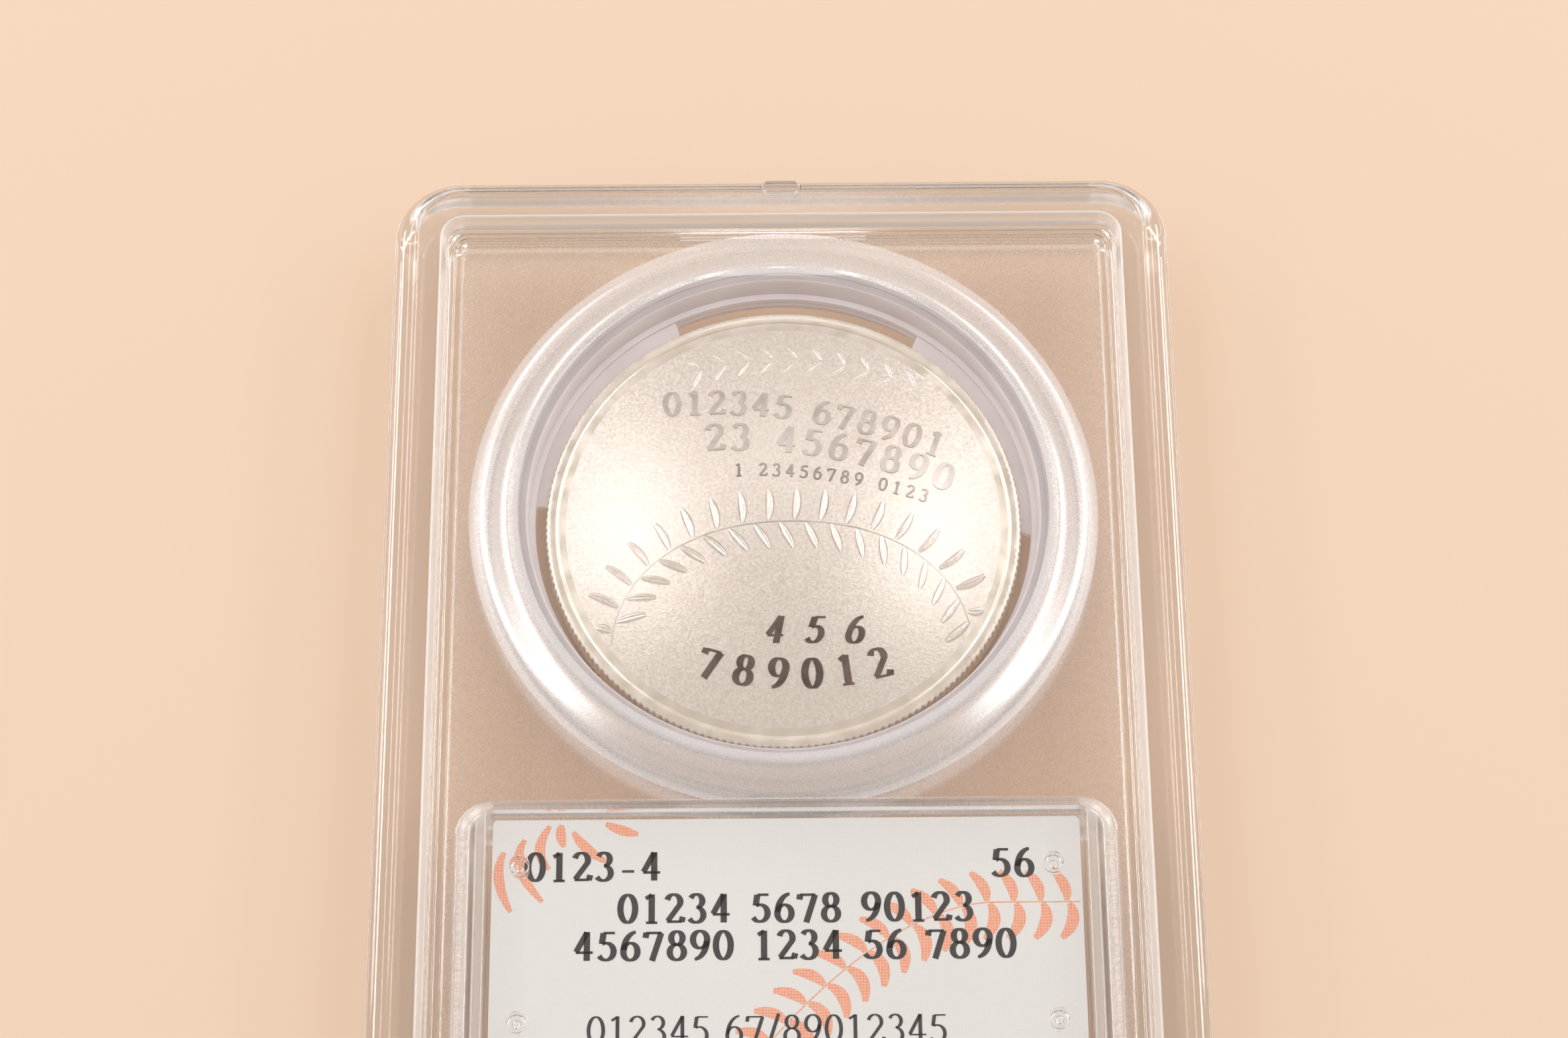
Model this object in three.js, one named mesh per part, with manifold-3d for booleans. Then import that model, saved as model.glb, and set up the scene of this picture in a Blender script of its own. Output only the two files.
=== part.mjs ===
// Graded coin slab: two clear half shells welded round a coin, its pronged gasket ring and a label card.
// Millimetres. The slab lies on its back: +Z out of the front windows, +Y towards the coin end, +X right.
// The origin is the centre of the back rim face that the slab rests on.

import * as THREE from 'three';
import { mergeVertices } from 'three/addons/utils/BufferGeometryUtils.js';
import Module from 'manifold-3d';

const wasm = await Module();
wasm.setup();

// ---- driving dimensions ------------------------------------------------------------------------

const SLAB = { width: 63.5, height: 82.55, thickness: 7.9, corner: 5.3 };
const SHOULDER = { inset: 1.35, drop: 1.1, steps: 3 }; // rounded outer edge of each half
const HALF_DEPTH = SLAB.thickness / 2; // the two halves meet at mid thickness

// Heights in one half, measured from the weld plane towards its own window.
const LEVEL = { panelInner: 0.85, panelOuter: 2.15, chamberRoof: 2.65, windowTop: 3.65 };

// Raised rim: the frosted panel lies in a pocket with drafted walls.
const POCKET = { x: 28.1, y: 38.0, corner: 1.6, draft: 0.5 };

// Tongue and groove weld, just inside the rim. The tongue is narrower and shorter than its groove.
const GROOVE = { x: 27.6, y: 37.5, width: 0.65, depth: 1.15, corner: 1.1 };
const TONGUE = { sideGap: 0.06, tipGap: 0.15 };
const RIB = 0.75; // wall kept between the groove and the hollow under the panel

const COIN = { x: 0, y: 11.17, radius: 19.05, rimWidth: 0.95, rimStep: 0.12, rimTop: 4.6, rimThick: 2.4 };
const DOME = { rise: 1.5, hollow: 1.45 };

const WINDOW = { x: 0, y: 11.87, footRadius: 24.5, topRadius: 21.9, wellRadius: 21.8, wall: 1.4 };

const GASKET = { outer: 21.6, inner: 20.3, lip: 19.8, chamfer: 0.35, clearance: 0.1 };
const LIP = { bottom: 2.9, top: 4.0 };
const TAB = { bottom: 3.1, top: 3.75, clearance: 0.08, span: 60, centres: [26, 146, 266] };

const LABEL = { width: 45.2, top: -13.75, height: 20.6, bottomZ: 4.45, thick: 0.45, corner: 0.4 };
const CHAMBER = { side: 0.5, end: 0.12, wall: 0.7, corner: 0.5 };
const LABEL_WINDOW = { side: 3.0, end: 1.25, corner: 3.0, slope: 1.3 };
const PIP = { radius: 0.9, x: 20.4, inset: 4.15, gap: 0.05, root: 0.2, sides: 20 };
const SEAL = { width: 12.5, height: 12.5, thick: 0.12, gap: 0.04 };

const CURVE = { corner: 6, ring: 64, tab: 10, dome: 5 };
const OVER = 2; // how far a cutting solid runs past the face that it opens

// ---- helpers -----------------------------------------------------------------------------------

/** Closed solid from a three.js geometry, with its shared vertices merged. */
function solid(geometry) {
  const bare = geometry.clone();
  bare.deleteAttribute('normal');
  bare.deleteAttribute('uv');
  const merged = mergeVertices(bare, 1e-5);
  const indices = Array.from(merged.index.array);
  return new wasm.Manifold(new wasm.Mesh({
    numProp: 3,
    vertProperties: new Float32Array(merged.attributes.position.array),
    triVerts: new Uint32Array(indices),
  }));
}

/** BufferGeometry of a solid. */
function geometryOf(manifold) {
  const mesh = manifold.getMesh();
  const geometry = new THREE.BufferGeometry();
  geometry.setAttribute('position', new THREE.BufferAttribute(new Float32Array(mesh.vertProperties), 3));
  geometry.setIndex(new THREE.BufferAttribute(new Uint32Array(mesh.triVerts), 1));
  geometry.computeVertexNormals();
  return geometry;
}

/** Rounded rectangle outline between two x values and two y values. */
function roundedRect(x0, x1, y0, y1, r) {
  const shape = new THREE.Shape();
  shape.absarc(x1 - r, y1 - r, r, 0, Math.PI / 2, false);
  shape.absarc(x0 + r, y1 - r, r, Math.PI / 2, Math.PI, false);
  shape.absarc(x0 + r, y0 + r, r, Math.PI, 1.5 * Math.PI, false);
  shape.absarc(x1 - r, y0 + r, r, 1.5 * Math.PI, 2 * Math.PI, false);
  return shape;
}

/** Prism of an outline between two heights. */
function prism(shape, z0, z1) {
  const geometry = new THREE.ExtrudeGeometry(shape, {
    depth: z1 - z0, bevelEnabled: false, curveSegments: CURVE.corner,
  });
  return solid(geometry.translate(0, 0, z0));
}

/** Prism whose outline shrinks by `inset` over the last `height` at both of its ends. */
function taperedPrism(shape, z0, z1, inset, height, segments = 1) {
  const geometry = new THREE.ExtrudeGeometry(shape, {
    depth: z1 - z0 - 2 * height,
    bevelThickness: height,
    bevelSize: inset,
    bevelOffset: -inset,
    bevelSegments: segments,
    curveSegments: CURVE.corner,
  });
  return solid(geometry.translate(0, 0, z0 + height));
}

/** Solid of revolution about a vertical axis through (x, y); the profile runs bottom to top. */
function turned(profile, x, y, segments = CURVE.ring) {
  const points = profile.map(([r, z]) => new THREE.Vector2(r, z));
  const geometry = new THREE.LatheGeometry(points, segments);
  return solid(geometry.rotateX(Math.PI / 2).translate(x, y, 0));
}

/** Plain disc between two heights. */
function disc(radius, z0, z1, x, y, segments = CURVE.ring) {
  return turned([[0, z0], [radius, z0], [radius, z1], [0, z1]], x, y, segments);
}

/** Everything above a height, as a block larger than the slab. */
function above(z) {
  const far = SLAB.height;
  return solid(new THREE.BoxGeometry(2 * far, 2 * far, far).translate(0, 0, z + far / 2));
}

// ---- half shell --------------------------------------------------------------------------------

const labelBottom = LABEL.top - LABEL.height;
const pipSpots = [
  [-PIP.x, LABEL.top - PIP.inset], [PIP.x, LABEL.top - PIP.inset],
  [-PIP.x, labelBottom + PIP.inset], [PIP.x, labelBottom + PIP.inset],
];

/** Outline that follows the label card, larger by `side` in x and by `end` in y. */
function labelOutline(side, end, corner) {
  const x = LABEL.width / 2 + side;
  return roundedRect(-x, x, labelBottom - end, LABEL.top + end, corner);
}

/** Outline that follows the outer wall of the weld groove, `inset` inside it. */
function weldOutline(inset) {
  const x = GROOVE.x - inset;
  const y = GROOVE.y - inset;
  return roundedRect(-x, x, -y, y, GROOVE.corner);
}

/** One half, with its weld face at z = 0, its windows towards +Z and its label pips down to `pipTip`. */
function halfShell(pipTip) {
  const x = SLAB.width / 2;
  const y = SLAB.height / 2;
  const outline = roundedRect(-x, x, -y, y, SLAB.corner);
  const block = taperedPrism(outline, -HALF_DEPTH, HALF_DEPTH, SHOULDER.inset, SHOULDER.drop, SHOULDER.steps);
  const pocketOutline = roundedRect(-POCKET.x, POCKET.x, -POCKET.y, POCKET.y, POCKET.corner);
  const pocketDepth = HALF_DEPTH - LEVEL.panelOuter;
  const pocketTop = HALF_DEPTH + OVER + pocketDepth;
  const pocket = taperedPrism(pocketOutline, LEVEL.panelOuter, pocketTop, POCKET.draft, pocketDepth);

  const coinWindow = turned([
    [0, 0], [WINDOW.footRadius, 0], [WINDOW.footRadius, LEVEL.panelOuter],
    [WINDOW.topRadius, LEVEL.windowTop], [0, LEVEL.windowTop],
  ], WINDOW.x, WINDOW.y);
  const rise = LEVEL.windowTop - LEVEL.panelOuter;
  const labelFoot = labelOutline(LABEL_WINDOW.side, LABEL_WINDOW.end, LABEL_WINDOW.corner);
  const labelWindow = taperedPrism(labelFoot, -OVER, LEVEL.windowTop, LABEL_WINDOW.slope, rise)
    .intersect(above(0));

  const well = disc(WINDOW.wellRadius, -OVER, LEVEL.chamberRoof, WINDOW.x, WINDOW.y);
  const wellWall = disc(WINDOW.wellRadius + WINDOW.wall, -OVER, LEVEL.chamberRoof, WINDOW.x, WINDOW.y);
  const { side, end, wall, corner } = CHAMBER;
  const chamber = prism(labelOutline(side, end, corner), -OVER, LEVEL.chamberRoof);
  const chamberWall = prism(
    labelOutline(side + wall, end + wall, corner + wall), -OVER, LEVEL.chamberRoof);
  const hollow = prism(weldOutline(GROOVE.width + RIB), -OVER, LEVEL.panelInner)
    .subtract(wellWall).subtract(chamberWall);

  let half = block.intersect(above(0)).subtract(pocket).add(coinWindow).add(labelWindow);
  half = half.subtract(hollow).subtract(well).subtract(chamber);
  for (const [px, py] of pipSpots) {
    half = half.add(disc(PIP.radius, pipTip, LEVEL.chamberRoof + PIP.root, px, py, PIP.sides));
  }
  return half;
}

/** Loop of rectangular section that follows the weld line between two insets. */
function weldLoop(outerInset, innerInset, z0, z1) {
  const hole = prism(weldOutline(innerInset), z0 - OVER, z1 + OVER);
  return prism(weldOutline(outerInset), z0, z1).subtract(hole);
}

function frontShell() {
  const labelFace = LABEL.bottomZ + LABEL.thick - HALF_DEPTH;
  const groove = weldLoop(0, GROOVE.width, -OVER, GROOVE.depth);
  return halfShell(labelFace + PIP.gap).subtract(groove).translate([0, 0, HALF_DEPTH]);
}

function backShell() {
  const labelBack = HALF_DEPTH - LABEL.bottomZ;
  const half = halfShell(labelBack + PIP.gap).rotate([0, 180, 0]).translate([0, 0, HALF_DEPTH]);
  const tip = HALF_DEPTH + GROOVE.depth - TONGUE.tipGap;
  const tongue = weldLoop(TONGUE.sideGap, GROOVE.width - TONGUE.sideGap, HALF_DEPTH - LEVEL.panelInner, tip);
  return half.add(tongue);
}

// ---- contents ----------------------------------------------------------------------------------

/** Curved coin: a flat rim, a domed face up and a hollow face down. */
function coin() {
  const rimBottom = COIN.rimTop - COIN.rimThick;
  const field = COIN.radius - COIN.rimWidth;
  const curve = (z, rise) => Array.from({ length: CURVE.dome + 1 }, (_, i) => {
    const share = i / CURVE.dome;
    return [field * share, z + rise * (1 - share ** 2)];
  });
  const profile = [
    ...curve(rimBottom + COIN.rimStep, DOME.hollow),
    [field, rimBottom], [COIN.radius, rimBottom], [COIN.radius, COIN.rimTop], [field, COIN.rimTop],
    ...curve(COIN.rimTop - COIN.rimStep, DOME.rise).reverse(),
  ];
  return turned(profile, COIN.x, COIN.y);
}

/** Part of a ring between two radii and two angles, in degrees, about (x, y). */
function sector(innerRadius, outerRadius, from, to, z0, z1, x, y) {
  const a = THREE.MathUtils.degToRad(from);
  const b = THREE.MathUtils.degToRad(to);
  const shape = new THREE.Shape();
  shape.absarc(x, y, outerRadius, a, b, false);
  shape.absarc(x, y, innerRadius, b, a, true);
  const geometry = new THREE.ExtrudeGeometry(shape, {
    depth: z1 - z0, bevelEnabled: false, curveSegments: CURVE.tab,
  });
  return solid(geometry.translate(0, 0, z0));
}

/** Gasket ring: a tall wall, a lip round its middle and three wide prongs that reach the coin's edge. */
function gasket() {
  const bottom = HALF_DEPTH - LEVEL.chamberRoof + GASKET.clearance;
  const top = HALF_DEPTH + LEVEL.chamberRoof - GASKET.clearance;
  const { outer, inner, lip, chamfer } = GASKET;
  const profile = [
    [inner, bottom], [outer - chamfer, bottom], [outer, bottom + chamfer], [outer, top - chamfer],
    [outer - chamfer, top], [inner, top], [inner, LIP.top], [lip, LIP.top],
    [lip, LIP.bottom], [inner, LIP.bottom], [inner, bottom],
  ];
  let ring = turned(profile, WINDOW.x, WINDOW.y);
  const reach = COIN.radius + TAB.clearance;
  const coinHole = disc(reach, TAB.bottom - OVER, TAB.top + OVER, COIN.x, COIN.y);
  for (const centre of TAB.centres) {
    const half = TAB.span / 2;
    const tab = sector(reach - 1.5, inner + 0.3, centre - half, centre + half, TAB.bottom, TAB.top,
      WINDOW.x, WINDOW.y);
    ring = ring.add(tab.subtract(coinHole));
  }
  return ring;
}

function labelCard() {
  return prism(labelOutline(0, 0, LABEL.corner), LABEL.bottomZ, LABEL.bottomZ + LABEL.thick);
}

/** Foil seal stuck to the back of the label card. */
function securitySeal() {
  const middle = (LABEL.top + labelBottom) / 2;
  const x = SEAL.width / 2;
  const y = SEAL.height / 2;
  const top = LABEL.bottomZ - SEAL.gap;
  return prism(roundedRect(-x, x, middle - y, middle + y, 0.6), top - SEAL.thick, top);
}

// ---- assembly ----------------------------------------------------------------------------------

const clearPlastic = { color: 0xe9dcd3, roughness: 0.08, metalness: 0, transparent: true, opacity: 0.35 };
const milkyPlastic = { color: 0xd9d4d6, roughness: 0.35, metalness: 0 };
const silver = { color: 0xe6ddcf, roughness: 0.32, metalness: 1 };
const card = { color: 0xf4f2ee, roughness: 0.6, metalness: 0 };
const foil = { color: 0xc9ced6, roughness: 0.2, metalness: 1 };

function part(name, manifold, finish) {
  const material = new THREE.MeshStandardMaterial({ ...finish, flatShading: true });
  const mesh = new THREE.Mesh(geometryOf(manifold), material);
  mesh.name = name;
  return mesh;
}

const slab = new THREE.Group();
slab.add(
  part('front_shell', frontShell(), clearPlastic),
  part('back_shell', backShell(), clearPlastic),
  part('coin_gasket', gasket(), milkyPlastic),
  part('coin', coin(), silver),
  part('label_card', labelCard(), card),
  part('security_seal', securitySeal(), foil),
);

export default slab;
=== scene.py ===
"""Looks of a graded coin slab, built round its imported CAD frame.

Lengths are in millimetres until a mesh is made. The lamps are in metres, and a grain's scale is per metre.
"""

import math

import bmesh
import bpy
import numpy as np
from mathutils import Matrix, Vector
from mathutils.geometry import tessellate_polygon


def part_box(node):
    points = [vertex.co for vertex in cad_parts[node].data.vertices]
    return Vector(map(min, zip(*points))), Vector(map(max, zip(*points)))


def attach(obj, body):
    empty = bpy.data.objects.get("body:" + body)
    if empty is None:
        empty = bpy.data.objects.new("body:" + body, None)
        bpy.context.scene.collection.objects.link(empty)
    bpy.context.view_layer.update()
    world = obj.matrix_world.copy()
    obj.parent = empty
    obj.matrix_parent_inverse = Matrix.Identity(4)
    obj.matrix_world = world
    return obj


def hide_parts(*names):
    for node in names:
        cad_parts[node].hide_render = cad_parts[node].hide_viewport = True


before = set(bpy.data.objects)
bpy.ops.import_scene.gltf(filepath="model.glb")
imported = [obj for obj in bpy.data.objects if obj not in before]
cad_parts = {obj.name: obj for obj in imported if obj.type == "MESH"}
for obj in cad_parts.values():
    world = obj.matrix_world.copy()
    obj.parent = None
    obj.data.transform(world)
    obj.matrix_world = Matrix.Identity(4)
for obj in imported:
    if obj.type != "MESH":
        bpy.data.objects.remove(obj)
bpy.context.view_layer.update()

MM = 0.001
BODY = "root"


# ---- sizes read from the frame -----------------------------------------------------------------


def node_box(node):
    """Lowest and highest corner of a CAD node, in millimetres."""
    lo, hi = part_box(node)
    return np.array(lo) / MM, np.array(hi) / MM


FRONT_LO, FRONT_HI = node_box("front_shell")
BACK_LO = node_box("back_shell")[0]
COIN_LO, COIN_HI = node_box("coin")
GASKET_LO, GASKET_HI = node_box("coin_gasket")
LABEL_LO, LABEL_HI = node_box("label_card")

HALF_X, HALF_Y = FRONT_HI[0], FRONT_HI[1]
WELD_Z = FRONT_LO[2]
HALF_DEPTH = FRONT_HI[2] - WELD_Z

COIN_C = (COIN_LO + COIN_HI)[:2] / 2
COIN_R = (COIN_HI - COIN_LO)[0] / 2
WINDOW_C = (GASKET_LO + GASKET_HI)[:2] / 2
GASKET_R = (GASKET_HI - GASKET_LO)[0] / 2

# Heights in one half, measured from the weld plane, and the insets of its steps from the long sides.
PANEL_IN, PANEL_OUT, ROOF, WINDOW_TOP = 0.85, 2.15, 2.65, 3.65
SHOULDER_IN, SHOULDER_DROP = 1.95, 1.25
POCKET_IN, FLOOR_IN, LEDGE_IN = 3.95, 4.18, 5.45
GROOVE_OUT, GROOVE_IN, HOLLOW_IN = 4.2, 4.85, 5.4
GROOVE_DEPTH, TONGUE_HEIGHT, TONGUE_GAP = 1.15, 1.0, 0.06
GUTTER_DROP = 0.07
WELD_GAP = 0.012

# The rim is narrower at the two ends, and its corners tighten step by step: side inset, end inset, radius.
INSETS = (0, 1.95, 3.95, 4.18, 4.85, 5.4, 6.0)
END_INSETS = (0, 1.25, 3.5, 3.68, 4.15, 4.6, 5.2)
CORNERS = (5.3, 3.9, 1.8, 1.5, 1.0, 0.45, 0.4)

WELL_R, WELL_WALL_R = 21.8, 23.2
FOOT_R, TOP_R = 24.25, 22.0
NECK_Y = -12.42  # the ring's foot is cut off here, beside the label window's foot
CHAMBER_SIDE, CHAMBER_END, CHAMBER_WALL = 0.5, 0.12, 0.7
PIP_R, PIP_X, PIP_INSET, PIP_GAP = 0.72, 20.4, 4.15, 0.05


# ---- mesh helpers ------------------------------------------------------------------------------


def rounded_rect(half_x, y0, y1, r, steps=14):
    """Rounded rectangle as an (n, 2) array, anticlockwise."""
    points = []
    corners = ((1, 1, 0), (-1, 1, 90), (-1, -1, 180), (1, -1, 270))
    for sx, sy, start in corners:
        cx = sx * (half_x - r)
        cy = (y1 - r) if sy > 0 else (y0 + r)
        for k in range(steps + 1):
            a = math.radians(start + 90 * k / steps)
            points.append((cx + r * math.cos(a), cy + r * math.sin(a)))
    return np.array(points)


def circle(centre, r, steps=192):
    """Circle as a (steps, 2) array, anticlockwise."""
    a = np.arange(steps) * 2 * math.pi / steps
    return np.stack([centre[0] + r * np.cos(a), centre[1] + r * np.sin(a)], 1)


def soften(profile, radius=0.12, steps=4):
    """The same profile with its inner corners rounded. A point may hold its own radius as a third number."""
    out = [tuple(profile[0][:2])]
    for before, here, after in zip(profile, profile[1:], profile[2:]):
        r = here[2] if len(here) > 2 else radius
        p, a, b = np.array(here[:2]), np.array(before[:2]), np.array(after[:2])
        la, lb = np.linalg.norm(a - p), np.linalg.norm(b - p)
        p0 = p + (a - p) * min(r / la, 0.48)
        p1 = p + (b - p) * min(r / lb, 0.48)
        for k in range(steps + 1):
            t = k / steps
            out.append(tuple((1 - t) ** 2 * p0 + 2 * t * (1 - t) * p + t * t * p1))
    out.append(tuple(profile[-1][:2]))
    return out


class Skin:
    """Rings of points and the faces between them, which become one mesh."""

    def __init__(self):
        self.points, self.faces, self.slots = [], [], []

    def ring(self, outline, z):
        start = len(self.points)
        heights = np.broadcast_to(z, len(outline))
        self.points.extend((float(x), float(y), float(h)) for (x, y), h in zip(outline, heights))
        return list(range(start, start + len(outline)))

    def bridge(self, a, b, slot=0):
        n = len(a)
        for k in range(n):
            m = (k + 1) % n
            self.faces.append((a[k], a[m], b[m], b[k]))
            self.slots.append(slot)

    def fill(self, outer, holes=(), slot=0):
        loops = [outer, *holes]
        flat = [i for loop in loops for i in loop]
        triangles = tessellate_polygon([[Vector(self.points[i]) for i in loop] for loop in loops])
        for t in triangles:
            self.faces.append(tuple(flat[i] for i in t))
            self.slots.append(slot)

    def sweep(self, outline_at, profile, slot=0, start=None):
        """Joined rings along a profile of (offset, height), going on from the ring `start` if given."""
        last = start
        rings = []
        for offset, z in profile:
            ring = self.ring(outline_at(offset), z)
            if last is not None:
                self.bridge(last, ring, slot)
            last = ring
            rings.append(ring)
        return rings

    def build(self, name, materials, smooth_angle=40):
        mesh = bpy.data.meshes.new(name)
        mesh.from_pydata([(x * MM, y * MM, z * MM) for x, y, z in self.points], [], self.faces)
        for material in materials:
            mesh.materials.append(material)
        mesh.polygons.foreach_set("material_index", self.slots)
        tool = bmesh.new()
        tool.from_mesh(mesh)
        bmesh.ops.remove_doubles(tool, verts=tool.verts, dist=1e-7)
        bmesh.ops.recalc_face_normals(tool, faces=tool.faces)
        tool.to_mesh(mesh)
        tool.free()
        obj = bpy.data.objects.new(name, mesh)
        bpy.context.scene.collection.objects.link(obj)
        finish_shading(obj, smooth_angle)
        return obj


def finish_shading(obj, angle):
    mesh = obj.data
    mesh.polygons.foreach_set("use_smooth", [True] * len(mesh.polygons))
    mesh.set_sharp_from_angle(angle=math.radians(angle))
    weighted = obj.modifiers.new("weighted", "WEIGHTED_NORMAL")
    weighted.keep_sharp = True
    weighted.weight = 90


def place(obj, slot, *nodes):
    """Rides the piece on the slab's one body and lets it stand for CAD nodes."""
    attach(obj, BODY)
    if nodes:
        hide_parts(*nodes)


# ---- materials ---------------------------------------------------------------------------------


def new_material(name):
    material = bpy.data.materials.new(name)
    material.use_nodes = True
    tree = material.node_tree
    tree.nodes.clear()
    out = tree.nodes.new("ShaderNodeOutputMaterial")
    shader = tree.nodes.new("ShaderNodeBsdfPrincipled")
    tree.links.new(shader.outputs["BSDF"], out.inputs["Surface"])
    return material, tree, shader, out


def object_coordinates(tree):
    return tree.nodes.new("ShaderNodeTexCoord").outputs["Object"]


def noise(tree, coordinates, scale, detail, roughness=0.5):
    node = tree.nodes.new("ShaderNodeTexNoise")
    node.inputs["Scale"].default_value = scale
    node.inputs["Detail"].default_value = detail
    node.inputs["Roughness"].default_value = roughness
    tree.links.new(coordinates, node.inputs["Vector"])
    return node.outputs["Fac"]


def ramp(tree, value, stops):
    node = tree.nodes.new("ShaderNodeValToRGB")
    elements = node.color_ramp.elements
    while len(elements) < len(stops):
        elements.new(0.5)
    for element, (position, colour) in zip(elements, stops):
        element.position = position
        element.color = (*colour, 1)
    tree.links.new(value, node.inputs["Fac"])
    return node.outputs["Color"]


def spread(tree, value, low, high, from_low=0.3, from_high=0.7):
    node = tree.nodes.new("ShaderNodeMapRange")
    node.inputs["From Min"].default_value = from_low
    node.inputs["From Max"].default_value = from_high
    node.inputs["To Min"].default_value = low
    node.inputs["To Max"].default_value = high
    tree.links.new(value, node.inputs["Value"])
    return node.outputs["Result"]


def bump(tree, shader, height, distance, strength):
    """A bump from a height value. distance is in millimetres."""
    node = tree.nodes.new("ShaderNodeBump")
    node.inputs["Distance"].default_value = distance * MM
    node.inputs["Strength"].default_value = strength
    tree.links.new(height, node.inputs["Height"])
    tree.links.new(node.outputs["Normal"], shader.inputs["Normal"])


def let_lamps_through(tree, shader, out, tint):
    """Lamps and soft bounces pass straight through the plastic, so that what is inside is lit."""
    path = tree.nodes.new("ShaderNodeLightPath")
    straight = tree.nodes.new("ShaderNodeMath")
    straight.operation = "MAXIMUM"
    tree.links.new(path.outputs["Is Shadow Ray"], straight.inputs[0])
    tree.links.new(path.outputs["Is Diffuse Ray"], straight.inputs[1])
    clear = tree.nodes.new("ShaderNodeBsdfTransparent")
    clear.inputs["Color"].default_value = (*tint, 1)
    mix = tree.nodes.new("ShaderNodeMixShader")
    tree.links.new(straight.outputs["Value"], mix.inputs["Fac"])
    tree.links.new(shader.outputs["BSDF"], mix.inputs[1])
    tree.links.new(clear.outputs["BSDF"], mix.inputs[2])
    tree.links.new(mix.outputs["Shader"], out.inputs["Surface"])


POLYSTYRENE_IOR = 1.57
# The panel's tan tint and its darker lamp tint are painted shade: they darken the panel and the floor under
# it, for the shade under the slab.
NEUTRAL, LILAC, PANEL_PAINTED_SHADE = (0.97, 0.955, 0.945), (0.97, 0.955, 0.96), (0.95, 0.92, 0.90)
FROSTED_SHADE, PANEL_PAINTED_SHADOW, GLOSS_SHADE = (0.90, 0.88, 0.87), (0.84, 0.79, 0.76), (0.94, 0.93, 0.92)


def clear_plastic():
    """Gloss polystyrene with a faint ripple."""
    material, tree, shader, out = new_material("clear_plastic")
    shader.inputs["Base Color"].default_value = (0.975, 0.965, 0.955, 1)
    shader.inputs["Transmission Weight"].default_value = 1.0
    shader.inputs["IOR"].default_value = POLYSTYRENE_IOR
    shader.inputs["Roughness"].default_value = 0.0
    ripple = noise(tree, object_coordinates(tree), 90, 1.0)
    bump(tree, shader, ripple, 0.01, 0.6)
    let_lamps_through(tree, shader, out, (0.97, 0.96, 0.95))
    return material


def frosted_plastic(name, roughness, depth, scale, white=0.0, shine=1.0, tint=NEUTRAL, shade=FROSTED_SHADE):
    """The same plastic with a fine spark-eroded grain. white is the share of light that it scatters."""
    material, tree, shader, out = new_material(name)
    shader.inputs["Base Color"].default_value = (*tint, 1)
    shader.inputs["Transmission Weight"].default_value = 1.0 - white
    shader.inputs["Specular IOR Level"].default_value = shine
    shader.inputs["IOR"].default_value = POLYSTYRENE_IOR
    grain = noise(tree, object_coordinates(tree), scale, 2.0, 0.7)
    tree.links.new(spread(tree, grain, *roughness), shader.inputs["Roughness"])
    bump(tree, shader, grain, depth, 0.8)
    let_lamps_through(tree, shader, out, shade)
    return material


def glossy_skin(material, weight, ior, roughness):
    """Stronger surface glints over a frosted plastic."""
    shader = material.node_tree.nodes["Principled BSDF"]
    shader.inputs["Coat Weight"].default_value = weight
    shader.inputs["Coat IOR"].default_value = ior
    shader.inputs["Coat Roughness"].default_value = roughness


def milky_plastic(name, low, high):
    """Soft translucent gasket plastic, faintly lilac."""
    material, tree, shader, out = new_material(name)
    shader.inputs["Roughness"].default_value = 0.3
    shader.inputs["Transmission Weight"].default_value = 0.3
    shader.inputs["IOR"].default_value = 1.45
    shader.inputs["Subsurface Weight"].default_value = 0.4
    shader.inputs["Subsurface Radius"].default_value = (1.0, 1.0, 1.0)
    shader.inputs["Subsurface Scale"].default_value = 1.2 * MM
    coordinates = object_coordinates(tree)
    cloud = noise(tree, coordinates, 260, 3.0)
    colour = ramp(tree, cloud, [(0.3, low), (0.7, high)])
    tree.links.new(colour, shader.inputs["Base Color"])
    bump(tree, shader, noise(tree, coordinates, 1500, 2.0), 0.01, 0.3)
    let_lamps_through(tree, shader, out, (0.86, 0.84, 0.85))
    return material


def frosted_silver():
    """Proof-frosted silver field with a fine matt grain."""
    material, tree, shader, out = new_material("frosted_silver")
    shader.inputs["Metallic"].default_value = 0.55
    coordinates = object_coordinates(tree)
    grain = noise(tree, coordinates, 4200, 3.0, 0.7)
    colour = ramp(tree, grain, [(0.35, (0.84, 0.77, 0.71)), (0.65, (1.0, 0.94, 0.88))])
    tree.links.new(colour, shader.inputs["Base Color"])
    tree.links.new(spread(tree, grain, 0.15, 0.25), shader.inputs["Roughness"])
    bump(tree, shader, grain, 0.02, 0.8)
    return material


def polished_silver(name, metallic, low, high, rough):
    """Smoother silver of the rim, the edge and the struck marks, mottled between two tones. On the struck
    marks its darker tones are painted shade and painted dark reflection.
    """
    material, tree, shader, out = new_material(name)
    shader.inputs["Metallic"].default_value = metallic
    coordinates = object_coordinates(tree)
    smear = noise(tree, coordinates, 700, 3.0)
    tree.links.new(spread(tree, smear, rough, rough * 1.8), shader.inputs["Roughness"])
    colour = ramp(tree, smear, [(0.3, low), (0.7, high)])
    tree.links.new(colour, shader.inputs["Base Color"])
    bump(tree, shader, smear, 0.004, 0.4)
    return material


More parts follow.
